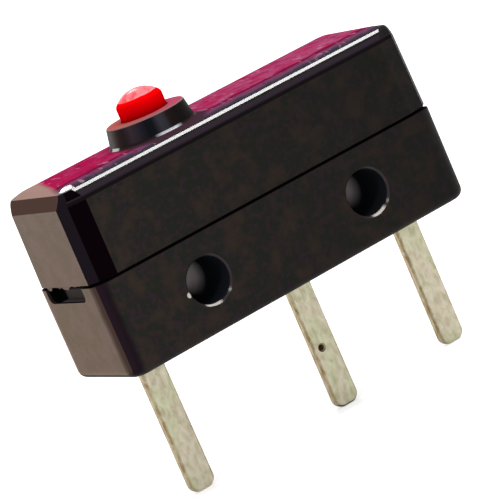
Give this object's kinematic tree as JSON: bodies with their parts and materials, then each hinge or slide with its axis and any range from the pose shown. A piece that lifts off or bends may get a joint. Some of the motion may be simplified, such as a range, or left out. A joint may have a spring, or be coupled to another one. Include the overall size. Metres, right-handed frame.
{
  "type": "micro switch",
  "caption": "Subminiature snap-action switch: black two-part housing with through mounting holes, a red push button on a collar and straight tinned circuit-board pins.",
  "frame": {"origin": "midway between the axes of the two mounting holes, at half the body's width", "axes": "+X along the body, away from the button's end; +Z out of the top with the button, terminals down; +Y across the body, along the mounting holes"},
  "size_m": [0.0201, 0.0064, 0.0184],
  "materials": {
    "housing_plastic": "black moulded thermoset, fine matte spark texture",
    "cover_plastic": "black moulded thermoset, fine matte spark texture, magenta coat on the flat top",
    "button_plastic": "bright red moulded plastic, satin gloss",
    "tinned_pin": "tin-plated copper alloy, dull and slightly mottled",
    "spring_copper": "rolled beryllium copper, bright",
    "rivet_brass": "plain brass",
    "contact_silver": "silver alloy, satin"
  },
  "bodies": {
    "housing": {"base": "housing_plastic", "cover": "cover_plastic", "common_terminal": "tinned_pin", "normally_open_terminal": "tinned_pin", "normally_closed_terminal": "tinned_pin", "blade_rivet": "rivet_brass", "normally_closed_contact": "contact_silver", "normally_open_contact": "contact_silver"},
    "button": {"plunger": "button_plastic"},
    "blade": {"snap_blade": "spring_copper", "moving_contact": "contact_silver"}
  },
  "joints": [
    {"name": "button_press", "type": "slide", "parent": "housing", "child": "button", "axis": [0, 0, -1], "range_m": [0, 0.0006], "stiffness_N_per_m": 900, "springref_m": -0.0006, "deforming": ["snap_blade"]},
    {"name": "blade_flex", "type": "hinge", "parent": "housing", "child": "blade", "pos_m": [-0.0066, 0, 0.00378], "axis": [0, 1, 0], "range_deg": [0, 1.85]}
  ],
  "couplings": [
    {"joint": "blade_flex", "follows": "button_press", "rad_per_m": 53.8}
  ]
}
